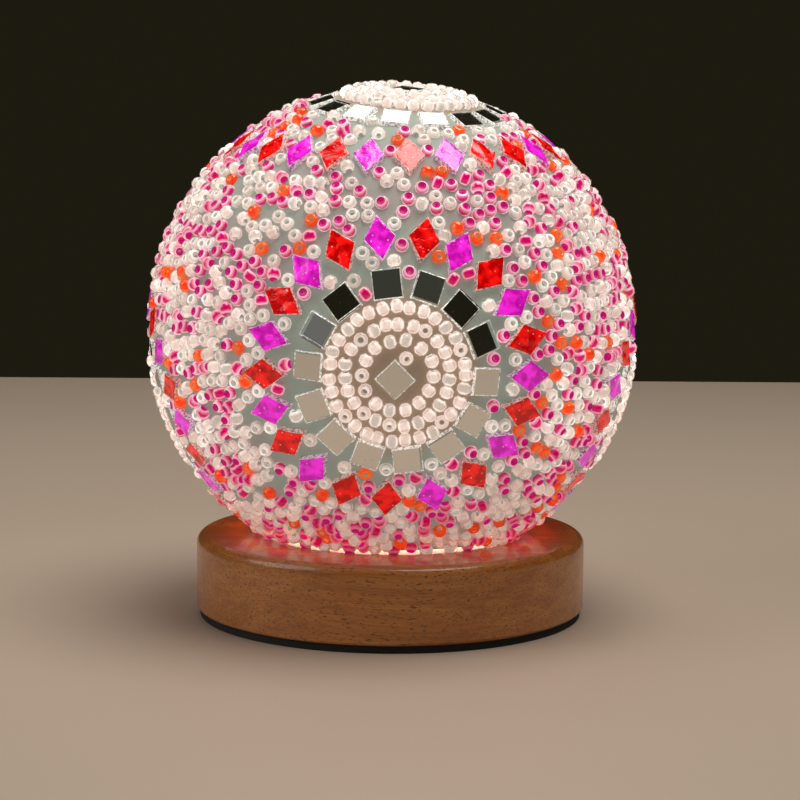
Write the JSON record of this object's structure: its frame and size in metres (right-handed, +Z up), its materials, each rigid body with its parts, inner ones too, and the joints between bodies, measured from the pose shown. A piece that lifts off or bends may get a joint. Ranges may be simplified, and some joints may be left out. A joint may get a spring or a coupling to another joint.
{
  "type": "mosaic glass table lamp",
  "caption": "Ball-shaped glass shade covered in beads, mirror squares and diamond tiles in flower medallions, standing loose on a lit round wooden base with a foam foot.",
  "frame": {"origin": "centre of the foam foot, on the surface that the lamp stands on", "axes": "+Z up through the middle of the globe; -Y towards the front medallion; +Y towards the charging inlet and the button"},
  "size_m": [0.1508, 0.1514, 0.1635],
  "materials": {
    "varnished_wood": "glossy clear varnish over turned hardwood",
    "black_foam": "matt closed-cell foam",
    "black_plastic": "fine moulded texture",
    "screw_steel": "zinc plated",
    "dark_screw": "blackened steel",
    "light_board": "white solder mask on aluminium",
    "led_phosphor": "phosphor patch on a white case",
    "lead_sleeve": "soft sleeve",
    "frosted_acrylic": "frosted",
    "silicone": "translucent moulded silicone",
    "battery_foil": "pressed foil pouch",
    "foam_tape": "double-sided foam",
    "ivory_plastic": "moulded",
    "circuit_board": "solder mask",
    "chip_plastic": "moulded epoxy",
    "usb_metal": "plated",
    "button_plastic": "satin dome",
    "clear_plastic": "light pipe",
    "shade_glass": "blown clear glass, ground rim",
    "grout": "fine grey grout",
    "bead_glass": "clear, pink-lined and orange glass beads",
    "clear_bead": "clear glass beads, lit from behind",
    "mirror_tile": "silvered glass with nipped edges",
    "red_glass": "wavy cathedral glass on foil",
    "pink_glass": "wavy cathedral glass on foil"
  },
  "bodies": {
    "base": {"wood_base": "varnished_wood", "foot_pad": "black_foam", "bottom_cover": "black_plastic", "cover_screws": "screw_steel", "led_board": "light_board", "led_chips": "led_phosphor", "board_screws": "screw_steel", "led_leads": "lead_sleeve", "diffuser": "frosted_acrylic", "battery_cell": "battery_foil", "battery_tape": "foam_tape", "battery_leads": "lead_sleeve", "battery_socket": "ivory_plastic", "rear_plate": "black_plastic", "plate_screws": "dark_screw", "control_board": "circuit_board", "control_screws": "screw_steel", "control_chips": "chip_plastic", "usb_shell": "usb_metal", "usb_tongue": "black_plastic", "switch_body": "chip_plastic", "charge_light": "clear_plastic"},
    "turning_seat": {"seat_ring": "silicone"},
    "shade": {"glass_shade": "shade_glass", "grout_bed": "grout", "bead_field": "bead_glass", "front_mirrors": "mirror_tile", "front_red_diamonds": "red_glass", "front_pink_diamonds": "pink_glass", "front_bead_disc": "clear_bead", "left_mirrors": "mirror_tile", "left_red_diamonds": "red_glass", "left_pink_diamonds": "pink_glass", "left_bead_disc": "clear_bead", "right_mirrors": "mirror_tile", "right_red_diamonds": "red_glass", "right_pink_diamonds": "pink_glass", "right_bead_disc": "clear_bead", "back_mirrors": "mirror_tile", "back_red_diamonds": "red_glass", "back_pink_diamonds": "pink_glass", "back_bead_disc": "clear_bead", "top_mirrors": "mirror_tile", "top_red_diamonds": "red_glass", "top_pink_diamonds": "pink_glass", "top_bead_disc": "clear_bead"},
    "button": {"button_plunger": "ivory_plastic", "power_button": "button_plastic"}
  },
  "joints": [
    {"name": "shade_turn", "type": "hinge", "parent": "base", "child": "turning_seat", "pos_m": [0, 0, 0.022], "axis": [0, 0, 1], "continuous": true},
    {"name": "shade_lift", "type": "slide", "parent": "turning_seat", "child": "shade", "axis": [0, 0, 1], "range_m": [0, 0.045]},
    {"name": "button_press", "type": "slide", "parent": "base", "child": "button", "axis": [0, -1, 0], "range_m": [0, 0.001], "stiffness_N_per_m": 600, "springref_m": -0.0008}
  ]
}
